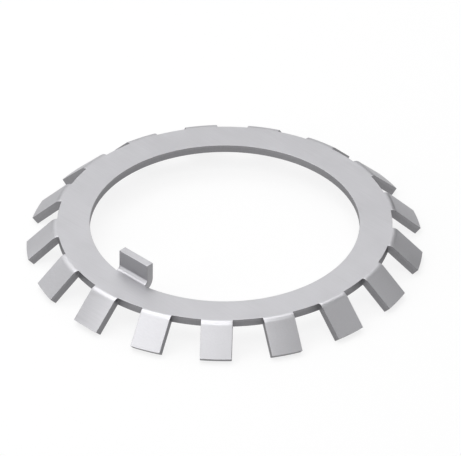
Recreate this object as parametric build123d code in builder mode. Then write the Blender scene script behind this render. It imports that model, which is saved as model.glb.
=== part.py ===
from build123d import *
from math import cos, radians, sin, sqrt
import os

# Tab lock washer: one steel sheet, blanked, then bent. Millimetres and degrees.
# The origin is the centre of the bore, in the flat face that beds on the bearing.
# The key stands up from that face. The outer tabs slope down from it, towards the nut.

# Sheet and flat ring
sheet_thickness = 1.7
bore_diameter = 55
ring_diameter = 68.3

# Outer tabs, evenly spaced, one of them in line with the key
tab_count = 17
tab_width = 6.5
tab_slope = 45
tab_inside_bend = 0.1
overall_diameter = 80.8

# Key tab, which slides in the keyway of the shaft
key_direction = -90
key_width = 8
key_height = 4.4
key_inside_bend = 0.85
key_turn = 90

bore_radius = bore_diameter / 2
ring_radius = ring_diameter / 2
ring_middle = (bore_radius + ring_radius) / 2
overall_radius = overall_diameter / 2

# The ring's upper face runs round the outside of the tab's bend and on, straight, to the tip.
slope = radians(tab_slope)
tab_outside_bend = tab_inside_bend + sheet_thickness
tab_straight = (overall_radius - ring_radius - tab_outside_bend * sin(slope)) / cos(slope)
rim_depth = (
    tab_outside_bend * (1 - cos(slope))
    + tab_straight * sin(slope)
    + sheet_thickness * cos(slope)
)

# The key starts to bend on the line where its two sides meet the bore.
turn = radians(key_turn)
key_bend_line = sqrt(bore_radius**2 - (key_width / 2) ** 2)
key_straight = (key_height - key_inside_bend * (1 - cos(turn))) / sin(turn)
key_plane = Plane.XZ.rotated((0, 0, key_direction))

with BuildPart() as lock_washer:
    # Flat ring with its whole rim turned down: a rounded bend, then a cone
    with BuildSketch(Plane.XZ):
        with BuildLine():
            ring_face = Line((bore_radius, 0), (ring_radius, 0))
            tab_bend = JernArc(ring_face @ 1, ring_face % 1, tab_outside_bend, -tab_slope)
            tab_face = PolarLine(tab_bend @ 1, tab_straight, -tab_slope)
            offset(amount=sheet_thickness, side=Side.RIGHT)
        make_face()
    revolve(axis=Axis.Z)

    # Gaps between the parallel-sided tabs, cut back to the flat ring
    with BuildSketch(Plane.XY.offset(-rim_depth)):
        Circle(ring_radius)
        with PolarLocations(ring_middle, tab_count, start_angle=key_direction):
            Rectangle(overall_radius, tab_width, align=(Align.MIN, Align.CENTER))
    extrude(amount=rim_depth, mode=Mode.INTERSECT)

    # Key tab: the ring's sheet carried on into the bore and bent up
    with BuildSketch(key_plane):
        with BuildLine():
            key_root = Line((ring_middle, 0), (key_bend_line, 0))
            key_bend = JernArc(key_root @ 1, key_root % 1, key_inside_bend, -key_turn)
            key_face = PolarLine(key_bend @ 1, key_straight, 180 - key_turn)
            offset(amount=sheet_thickness, side=Side.LEFT)
        make_face()
    extrude(amount=key_width / 2, both=True)

lock_washer.part.label = "lock_washer"

os.makedirs("parts", exist_ok=True)
export_step(lock_washer.part, "parts/lock_washer.step")
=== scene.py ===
from math import asin, atan, cos, pi, radians, sin, sqrt, tan

import bmesh
import bpy
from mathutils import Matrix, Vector


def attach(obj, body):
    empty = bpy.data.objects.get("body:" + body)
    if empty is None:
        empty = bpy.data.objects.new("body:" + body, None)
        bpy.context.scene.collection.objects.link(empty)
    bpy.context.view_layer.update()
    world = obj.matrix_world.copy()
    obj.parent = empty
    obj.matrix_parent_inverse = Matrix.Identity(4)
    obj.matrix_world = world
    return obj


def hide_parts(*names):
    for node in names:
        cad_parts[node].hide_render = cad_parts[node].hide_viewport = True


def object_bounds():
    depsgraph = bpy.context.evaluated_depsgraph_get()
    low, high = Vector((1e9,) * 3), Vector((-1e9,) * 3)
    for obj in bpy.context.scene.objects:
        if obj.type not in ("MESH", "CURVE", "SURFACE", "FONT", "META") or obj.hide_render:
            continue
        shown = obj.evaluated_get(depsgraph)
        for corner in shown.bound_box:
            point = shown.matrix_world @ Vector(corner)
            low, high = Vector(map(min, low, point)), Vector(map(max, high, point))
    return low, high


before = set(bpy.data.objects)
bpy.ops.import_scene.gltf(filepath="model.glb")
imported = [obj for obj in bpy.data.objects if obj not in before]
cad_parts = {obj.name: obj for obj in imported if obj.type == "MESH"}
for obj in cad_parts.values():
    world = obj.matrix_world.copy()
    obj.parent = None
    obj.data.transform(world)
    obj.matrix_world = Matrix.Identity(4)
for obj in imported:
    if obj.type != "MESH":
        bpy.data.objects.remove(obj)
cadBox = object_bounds()
mm = 0.001
print("frame loaded, box in mm:", [[round(x / mm, 2) for x in corner] for corner in cadBox])

# A tab lock washer: one steel sheet, blanked, then bent. The bore's axis is Z, the sheet's
# upper face is at height 0, and the key is on the -Y side.

washer = {
    "boreRadius": 27.5 * mm,
    "ringRadius": 34.15 * mm,
    "sheetThickness": 1.7 * mm,
    "tabCount": 17,
    "tabWidth": 6.5 * mm,
    "tabSlope": radians(45),
    "tabInsideBend": 0.1 * mm,
    "tipRadius": 40.4 * mm,
    "keyWidth": 8 * mm,
    "keyHeight": 4.4 * mm,
    "keyInsideBend": 0.85 * mm,
    "keyTurn": radians(90),
    "tabSteps": 8,  # faces across a tab
    "gapSteps": 6,  # and from one tab to the next
    "bendSteps": 10,  # and round each bend
    "edgeRounding": 0.07 * mm,
    "edgeSteps": 4,
    "sharpAngle": radians(40),  # an edge that turns more than this is rounded
    "tipLean": 0.5,  # a face that looks down, and this far away from the axis, is a tab's tip
}

tabOutsideBend = washer["tabInsideBend"] + washer["sheetThickness"]
halfTabAngle = asin(washer["tabWidth"] / 2 / washer["ringRadius"])
tabPitch = 2 * pi / washer["tabCount"]
samePlace = 0.001 * mm  # points nearer than this are merged
closeEnough = 10 * samePlace  # numbers nearer than this are taken as equal


def selectOnly(kind, test):  # kind is EDGE or FACE
    bpy.ops.mesh.select_mode(type=kind)
    bpy.ops.mesh.select_all(action="DESELECT")
    shape = bmesh.from_edit_mesh(bpy.context.object.data)
    for part in {"EDGE": shape.edges, "FACE": shape.faces}[kind]:
        if test(part):
            part.select_set(True)
    shape.select_flush_mode()
    bmesh.update_edit_mesh(bpy.context.object.data)


def near(a, b):
    return abs(a - b) < closeEnough


def radiusOf(point):
    return sqrt(point.x ** 2 + point.y ** 2)


def applyPlace():
    bpy.ops.object.mode_set(mode="OBJECT")
    bpy.ops.object.transform_apply(location=True, rotation=True, scale=True)
    bpy.ops.object.mode_set(mode="EDIT")


def modelTabSection():
    # The flat ring's section, then its outer edge turned down and drawn out to the tip
    ringWidth = washer["ringRadius"] - washer["boreRadius"]
    bpy.ops.object.select_all(action="DESELECT")
    bpy.ops.mesh.primitive_plane_add(
        size=1,
        location=(washer["boreRadius"] + ringWidth / 2, 0, -washer["sheetThickness"] / 2),
        rotation=(radians(90), 0, 0),
    )
    bpy.context.object.scale = (ringWidth, washer["sheetThickness"], 1)
    bpy.context.object.name = "washer"
    applyPlace()

    slope = washer["tabSlope"]
    reach = washer["tipRadius"] - washer["ringRadius"] - tabOutsideBend * sin(slope)
    selectOnly("EDGE", lambda edge: all(near(end.co.x, washer["ringRadius"]) for end in edge.verts))
    bpy.ops.mesh.spin(
        steps=washer["bendSteps"],
        angle=slope,
        center=(washer["ringRadius"], 0, -tabOutsideBend),
        axis=(0, -1, 0),
    )
    bpy.ops.mesh.extrude_region_move(
        TRANSFORM_OT_translate={"value": (reach, 0, -reach * tan(slope))}
    )


def modelTab():
    # The section swept about the bore's axis, then cut parallel-sided past the ring
    bpy.ops.object.mode_set(mode="OBJECT")
    bpy.context.object.rotation_euler.z = -halfTabAngle
    applyPlace()
    bpy.ops.mesh.select_all(action="SELECT")
    bpy.ops.mesh.spin(
        steps=washer["tabSteps"], angle=2 * halfTabAngle, center=(0, 0, 0), axis=(0, 0, -1)
    )
    for side in (-1, 1):
        bpy.ops.mesh.select_all(action="SELECT")
        bpy.ops.mesh.bisect(
            plane_co=(0, side * washer["tabWidth"] / 2, 0),
            plane_no=(0, side, 0),
            use_fill=True,
            clear_outer=True,
            threshold=samePlace,
        )


def modelGap():
    # The ring's own section carried on as far as the next tab, and both cut ends opened
    def endAt(angle):
        along = Vector((cos(angle), sin(angle), 0))
        across = Vector((-sin(angle), cos(angle), 0))
        return lambda face: all(
            near(point.co.dot(across), 0)
            and point.co.dot(along) < washer["ringRadius"] + samePlace
            for point in face.verts
        )

    selectOnly("FACE", endAt(halfTabAngle))
    bpy.ops.mesh.spin(
        steps=washer["gapSteps"],
        angle=tabPitch - 2 * halfTabAngle,
        center=(0, 0, 0),
        axis=(0, 0, -1),
    )
    for angle in (-halfTabAngle, tabPitch - halfTabAngle):
        selectOnly("FACE", endAt(angle))
        bpy.ops.mesh.delete(type="ONLY_FACE")


def repeatRound():
    # One tab and one gap, copied round the bore until the ring closes
    copies = washer["tabCount"] - 1
    bpy.ops.mesh.select_all(action="SELECT")
    bpy.ops.mesh.spin(
        steps=copies, dupli=True, angle=tabPitch * copies, center=(0, 0, 0), axis=(0, 0, -1)
    )
    bpy.ops.mesh.select_all(action="SELECT")
    bpy.ops.mesh.remove_doubles(threshold=samePlace)
    bpy.ops.object.mode_set(mode="OBJECT")
    bpy.context.object.rotation_euler.z = radians(-90)  # the first tab in line with the key
    applyPlace()


def isInKey(face):
    middle = face.calc_center_median()
    beside = abs(middle.x) < washer["keyWidth"] / 2 + samePlace
    return beside and middle.y < 0 and radiusOf(middle) < washer["boreRadius"]


def modelKey():
    # The bore's wall between the key's sides, drawn back to a flat, bent up and drawn out
    halfWidth = washer["keyWidth"] / 2
    flat = sqrt(washer["boreRadius"] ** 2 - halfWidth ** 2)
    for side in (-1, 1):
        selectOnly("FACE", lambda face: near(face.normal.z, 0) and face.calc_center_median().y < 0)
        bpy.ops.mesh.bisect(
            plane_co=(side * halfWidth, 0, 0), plane_no=(1, 0, 0), threshold=samePlace
        )
    selectOnly("FACE", isInKey)
    bpy.ops.transform.resize(value=(1, 0, 1), center_override=(0, -flat, 0))
    bpy.ops.mesh.spin(
        steps=washer["bendSteps"],
        angle=washer["keyTurn"],
        center=(0, -flat, washer["keyInsideBend"]),
        axis=(-1, 0, 0),
    )
    bpy.ops.mesh.extrude_region_move(
        TRANSFORM_OT_translate={"value": (0, 0, washer["keyHeight"] - washer["keyInsideBend"])}
    )
    bpy.ops.mesh.select_all(action="SELECT")
    bpy.ops.mesh.remove_doubles(threshold=samePlace)
    bpy.ops.mesh.normals_make_consistent(inside=False)


def isSheared(face):
    # The bore, the gaps and the tabs' sides are upright, and the tips face down and outwards
    middle = face.calc_center_median()
    outwards = (face.normal.x * middle.x + face.normal.y * middle.y) / radiusOf(middle)
    isTip = face.normal.z < 0 and outwards > washer["tipLean"]
    return isTip or near(face.normal.z, 0)


def isUprightKey(face):
    return near(face.normal.z, 0) and isInKey(face)


def markFinish(finishName, test):
    selectOnly("FACE", test)
    piece = bpy.context.object
    piece.active_material_index = piece.data.materials.find(finishName)
    bpy.ops.object.material_slot_assign()


def roundEdges():
    bpy.ops.object.mode_set(mode="OBJECT")
    rounding = bpy.context.object.modifiers.new("edge rounding", "BEVEL")
    rounding.width = washer["edgeRounding"]
    rounding.segments = washer["edgeSteps"]
    rounding.limit_method = "ANGLE"
    rounding.angle_limit = washer["sharpAngle"]
    rounding.use_clamp_overlap = False
    bpy.ops.object.modifier_apply(modifier=rounding.name)
    bpy.ops.object.shade_smooth_by_angle(angle=washer["sharpAngle"])
    flats = bpy.context.object.modifiers.new("flat faces stay flat", "WEIGHTED_NORMAL")
    flats.keep_sharp = True
    bpy.ops.object.modifier_apply(modifier=flats.name)


# Three finishes of one bare steel, all with the same kind of fine grain. It runs along the sheet
# on its rolled faces, and upright on the walls and on the key. The walls and the key are given
# darker colours than the rolled faces, which paint the shade that falls on them.

rolledFinish = {
    "colour": (0.633, 0.63, 0.653, 1),
    "roughness": 0.45,
    "grainSize": (9 * mm, 0.2 * mm, 0.2 * mm),
    "colourChange": 0.12,
    "roughnessChange": 0.12,
    "grainHeight": 0.004 * mm,
}

# The bore, the gaps, the tabs' sides and the tips: sheared steel. Its colour is far darker than the
# rolled faces'. That is partly the cut edge's own duller look and mostly painted shade for these
# upright and downward faces. The cut and torn bands below are the real edge's.
shearedAndShadedFinish = {
    "colour": (0.257, 0.255, 0.265, 1),
    "roughness": 0.4,
    "grainSize": (0.15 * mm, 0.15 * mm, 1.2 * mm),
    "colourChange": 0.25,
    "roughnessChange": 0.15,
    "grainHeight": 0.008 * mm,
    "cutDepth": 0.6 * mm,  # the punch cut this deep, and the rest of the wall tore
    "cutWander": 0.25 * mm,  # how far the line between the two wanders, and blends
    "wanderSize": 0.9 * mm,
    "tornShade": 1.06,  # the torn part's colour, as a share of the cut part's
    "tornRoughness": 0.14,  # how much rougher it is
    "tornGrainSize": 0.22 * mm,
    "tornGrainHeight": 8,  # in grain heights
}

# The key's four upright faces, in a colour between the rolled faces' and the sheared walls', which
# is painted shade
keyPaintedShadeFinish = {
    "colour": (0.367, 0.365, 0.378, 1),
    "roughness": 0.45,
    "grainSize": (0.2 * mm, 0.2 * mm, 2 * mm),
    "colourChange": 0.12,
    "roughnessChange": 0.12,
    "grainHeight": 0.004 * mm,
}

steel = {  # what the three share
    "edgeTint": (0.7, 0.7, 0.7, 1),  # the reflection dips at a grazing angle
    "cloudSize": 7 * mm,  # broad, faint patches
    "cloudShare": 0.5,  # how strong they are beside the grain
    "grainDetail": 3,
    "otherDetail": 2,  # the patches, the torn part's grain and its wandering line
}


def feed(tree, node, values):
    # A plain value is set on its socket, and another node's output is linked to it
    for name, value in values.items():
        if isinstance(value, bpy.types.NodeSocket):
            tree.links.new(value, node.inputs[name])
        else:
            node.inputs[name].default_value = value


def addNode(tree, kind, values=None, **settings):
    # The settings come first, because a group node has no sockets before it has its group
    node = tree.nodes.new(kind)
    for name, setting in settings.items():
        setattr(node, name, setting)
    feed(tree, node, values or {})
    return node


def addMath(tree, operation, *values, **settings):
    node = addNode(tree, "ShaderNodeMath", dict(enumerate(values)), operation=operation, **settings)
    return node.outputs["Value"]


def addNoise(tree, place, size, detail, label):
    values = {"Vector": place, "Scale": 1 / size, "Detail": detail}
    return addNode(tree, "ShaderNodeTexNoise", values, label=label).outputs["Fac"]


def makeSheetGrain():
    group = bpy.data.node_groups.new("sheetGrain", "ShaderNodeTree")
    sockets = group.interface
    sockets.new_socket("Colour", in_out="INPUT", socket_type="NodeSocketColor")
    sockets.new_socket("Roughness", in_out="INPUT", socket_type="NodeSocketFloat")
    sockets.new_socket("Grain Size", in_out="INPUT", socket_type="NodeSocketVector")
    sockets.new_socket("Colour Change", in_out="INPUT", socket_type="NodeSocketFloat")
    sockets.new_socket("Roughness Change", in_out="INPUT", socket_type="NodeSocketFloat")
    sockets.new_socket("Colour", in_out="OUTPUT", socket_type="NodeSocketColor")
    sockets.new_socket("Roughness", in_out="OUTPUT", socket_type="NodeSocketFloat")
    sockets.new_socket("Height", in_out="OUTPUT", socket_type="NodeSocketFloat")
    given = addNode(group, "NodeGroupInput").outputs
    place = addNode(group, "ShaderNodeTexCoord").outputs["Object"]

    stretch = {0: place, 1: given["Grain Size"]}
    inGrains = addNode(group, "ShaderNodeVectorMath", stretch, operation="DIVIDE", label="in grains")
    grain = addNoise(group, inGrains.outputs["Vector"], 1, steel["grainDetail"], "grain")
    clouds = addNoise(group, place, steel["cloudSize"], steel["otherDetail"], "clouds")

    # the two together, brought to between -1 and 1
    mixed = addMath(group, "MULTIPLY_ADD", clouds, steel["cloudShare"], grain, label="both")
    spread = {"Value": mixed, "From Max": 1 + steel["cloudShare"], "To Min": -1, "To Max": 1}
    change = addNode(group, "ShaderNodeMapRange", spread, label="change").outputs["Result"]

    shade = addMath(group, "MULTIPLY_ADD", change, given["Colour Change"], 1, label="shade")
    tint = {0: given["Colour"], "Scale": shade}
    colour = addNode(group, "ShaderNodeVectorMath", tint, operation="SCALE", label="shaded colour")
    roughness = addMath(group, "MULTIPLY_ADD", change, given["Roughness Change"], given["Roughness"])
    result = {"Colour": colour.outputs["Vector"], "Roughness": roughness, "Height": grain}
    addNode(group, "NodeGroupOutput", result)
    return group


def addDepthInSheet(tree, place):
    # How far a point on a wall lies under the sheet's upper face, flat ring or sloping tab
    slope = washer["tabSlope"]
    tabStart = washer["ringRadius"] + tabOutsideBend * tan(slope / 2)
    height = addNode(tree, "ShaderNodeSeparateXYZ", {"Vector": place}).outputs["Z"]
    flatten = {0: place, 1: (1, 1, 0)}
    level = addNode(tree, "ShaderNodeVectorMath", flatten, operation="MULTIPLY").outputs["Vector"]
    radius = addNode(tree, "ShaderNodeVectorMath", {0: level}, operation="LENGTH").outputs["Value"]
    inwards = addMath(tree, "MULTIPLY_ADD", radius, -sin(slope), tabStart * sin(slope))
    underTab = addMath(tree, "MULTIPLY_ADD", height, -cos(slope), inwards, label="depth under a tab")
    underRing = addMath(tree, "MULTIPLY", height, -1, label="depth under the ring")
    return addMath(tree, "MINIMUM", underTab, underRing, label="depth in the sheet")


def addShearBands(tree, finish, colour, roughness, height):
    # The smooth band that the punch cut, and under it the coarser part that tore
    place = addNode(tree, "ShaderNodeTexCoord").outputs["Object"]
    depth = addDepthInSheet(tree, place)
    wander = addNoise(tree, place, finish["wanderSize"], steel["otherDetail"], "wander")
    line = {
        "Value": addMath(tree, "MULTIPLY_ADD", wander, finish["cutWander"], depth),
        "From Min": finish["cutDepth"],
        "From Max": finish["cutDepth"] + finish["cutWander"],
    }
    bands = addNode(tree, "ShaderNodeMapRange", line, interpolation_type="SMOOTHSTEP")
    torn = bands.outputs["Result"]

    shade = addMath(tree, "MULTIPLY_ADD", torn, finish["tornShade"] - 1, 1, label="shade")
    tint = {0: colour, "Scale": shade}
    shaded = addNode(tree, "ShaderNodeVectorMath", tint, operation="SCALE", label="shaded colour")
    roughened = addMath(tree, "MULTIPLY_ADD", torn, finish["tornRoughness"], roughness)
    tornGrain = addNoise(tree, place, finish["tornGrainSize"], steel["otherDetail"], "torn grain")
    onlyTorn = addMath(tree, "MULTIPLY", tornGrain, torn, label="only where torn")
    raised = addMath(tree, "MULTIPLY_ADD", onlyTorn, finish["tornGrainHeight"], height)
    return shaded.outputs["Vector"], roughened, raised


def makeSteel(name, finish, sheetGrain):
    material = bpy.data.materials.new(name)
    material.use_nodes = True
    tree = material.node_tree
    given = {
        "Colour": finish["colour"],
        "Roughness": finish["roughness"],
        "Grain Size": finish["grainSize"],
        "Colour Change": finish["colourChange"],
        "Roughness Change": finish["roughnessChange"],
    }
    grain = addNode(tree, "ShaderNodeGroup", given, node_tree=sheetGrain)
    made = grain.outputs
    colour, roughness, height = made["Colour"], made["Roughness"], made["Height"]
    if "cutDepth" in finish:
        colour, roughness, height = addShearBands(tree, finish, colour, roughness, height)
    bump = addNode(tree, "ShaderNodeBump", {"Distance": finish["grainHeight"], "Height": height})
    surface = {
        "Metallic": 1,
        "Specular Tint": steel["edgeTint"],
        "Base Color": colour,
        "Roughness": roughness,
        "Normal": bump.outputs["Normal"],
    }
    feed(tree, tree.nodes["Principled BSDF"], surface)
    return material


modelTabSection()
modelTab()
modelGap()
repeatRound()
modelKey()
washerPiece = bpy.context.object
print("washer modelled:", len(washerPiece.data.polygons), "faces before its edges are rounded")

sheetGrain = makeSheetGrain()
washerPiece.data.materials.append(makeSteel("rolledSteel", rolledFinish, sheetGrain))
washerPiece.data.materials.append(makeSteel("shearedAndShadedSteel", shearedAndShadedFinish, sheetGrain))
washerPiece.data.materials.append(makeSteel("keyPaintedShadeSteel", keyPaintedShadeFinish, sheetGrain))
# the upright walls and the tips take the darker colour, which is mostly painted shade
markFinish("shearedAndShadedSteel", isSheared)
# the key's upright faces take their painted shade
markFinish("keyPaintedShadeSteel", isUprightKey)
roundEdges()
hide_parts("lock_washer")
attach(washerPiece, "root")
print("washer finished:", len(washerPiece.data.polygons), "faces")


# A pale floor inside a low white wall, a parallel view and soft lamps

view = {
    "azimuth": radians(45),
    "elevation": atan(1 / sqrt(2)),
    "pictureSize": (461, 456),
    "boreCentre": (224.72, 223.28),  # where the picture shows it, in pixels
    "pixelsPerMetre": 4909,
    "distance": 0.5,
}

stage = {
    "radius": 3,
    "wallHeight": 0.08,  # above the floor and below it, for views from low down
    "wallSteps": 96,
    "colour": (0.96, 0.96, 0.96, 1),
    "floorWhiteShare": 0.8,  # how much of the look is plain white, with the rest as it is lit
    "wallWhiteShare": 1,
}

# Bearing and height in degrees, and strength. The bearing is 0 to the picture's right and 90
# away from the camera, and a strength of 1 would by itself light a white card white.
softLamps = {
    "overheadFront": (270, 68, 0.298),
    "overheadBackLeft": (135, 68, 0.177),
    "overheadBack": (90, 68, 0.134),
    "highFrontLeft": (210, 48, 0.206),
    "highFrontRight": (330, 48, 0.058),
    "highBackLeft": (150, 48, 0.141),
    "highBack": (90, 48, 0.058),
    "highBackRight": (60, 48, 0.068),
    "backLeft": (120, 28, 0.065),
    "right": (0, 28, 0.062),
    "backRight": (30, 28, 0.044),
    "lowFrontLeft": (210, 10, 0.301),
    "lowBackLeft": (150, 10, 0.097),
    "lowBack": (90, 10, 0.081),
}
lampDistance = 0.8
lampSide = 0.5
worldStrength = 0.05
white = (1, 1, 1, 1)


def makePale(name, whiteShare):
    # Matte, but plain white in that share to the camera, in reflections and through glass
    material = bpy.data.materials.new(name)
    material.use_nodes = True
    tree = material.node_tree
    tree.nodes.clear()
    rays = addNode(tree, "ShaderNodeLightPath").outputs
    direct = addMath(tree, "ADD", rays["Is Camera Ray"], rays["Is Glossy Ray"])
    seen = addMath(tree, "ADD", direct, rays["Is Transmission Ray"], use_clamp=True)
    share = addMath(tree, "MULTIPLY", seen, whiteShare)
    matte = addNode(tree, "ShaderNodeBsdfDiffuse", {"Color": stage["colour"]})
    glow = addNode(tree, "ShaderNodeEmission", {"Color": white})
    both = {"Fac": share, 1: matte.outputs["BSDF"], 2: glow.outputs["Emission"]}
    surface = addNode(tree, "ShaderNodeMixShader", both)
    addNode(tree, "ShaderNodeOutputMaterial", {"Surface": surface.outputs["Shader"]})
    return material


def addStage():
    bpy.ops.object.select_all(action="DESELECT")
    bpy.ops.mesh.primitive_circle_add(
        vertices=stage["wallSteps"],
        radius=stage["radius"],
        fill_type="NGON",
        location=(0, 0, cadBox[0].z),
    )
    floor = bpy.context.object
    floor.name = "floor"
    floor.data.materials.append(makePale("paleFloor", stage["floorWhiteShare"]))
    bpy.ops.mesh.primitive_cylinder_add(
        vertices=stage["wallSteps"],
        radius=stage["radius"],
        depth=2 * stage["wallHeight"],
        end_fill_type="NOTHING",
        location=(0, 0, cadBox[0].z),
    )
    wall = bpy.context.object
    wall.name = "backdrop"
    wall.data.materials.append(makePale("whiteWall", stage["wallWhiteShare"]))


def levelAxes():
    # Along the floor to the picture's right, and away from the camera
    turn = view["azimuth"]
    return Vector((cos(turn), sin(turn), 0)), Vector((-sin(turn), cos(turn), 0))


def addCamera():
    right, away = levelAxes()
    up = away * sin(view["elevation"]) + Vector((0, 0, cos(view["elevation"])))
    back = right.cross(up)
    width, height = view["pictureSize"]
    across = width / 2 - view["boreCentre"][0]
    down = height / 2 - view["boreCentre"][1]
    aim = (right * across - up * down) / view["pixelsPerMetre"]
    bpy.ops.object.camera_add(location=aim + back * view["distance"])
    camera = bpy.context.object
    camera.rotation_euler = (-back).to_track_quat("-Z", "Y").to_euler()
    camera.data.type = "ORTHO"
    camera.data.ortho_scale = width / view["pixelsPerMetre"]
    bpy.context.scene.camera = camera


def addLamps():
    right, away = levelAxes()
    # the power at which a lamp this far off, square on, gives a white card a brightness of 1
    fullPower = (pi * lampDistance) ** 2
    for name, (bearing, height, strength) in softLamps.items():
        level = right * cos(radians(bearing)) + away * sin(radians(bearing))
        towards = level * cos(radians(height)) + Vector((0, 0, sin(radians(height))))
        bpy.ops.object.light_add(type="AREA", location=towards * lampDistance)
        lamp = bpy.context.object
        lamp.name = name
        lamp.rotation_euler = (-towards).to_track_quat("-Z", "Y").to_euler()
        lamp.data.size = lampSide
        lamp.data.energy = fullPower * strength
        lamp.visible_camera = False


def addWorld():
    world = bpy.data.worlds.new("studio")
    world.use_nodes = True
    background = world.node_tree.nodes["Background"]
    feed(world.node_tree, background, {"Color": white, "Strength": worldStrength})
    bpy.context.scene.world = world


addStage()
addCamera()
addLamps()
addWorld()
bpy.context.scene.view_settings.view_transform = "Standard"
print("studio ready:", len(softLamps), "lamps")
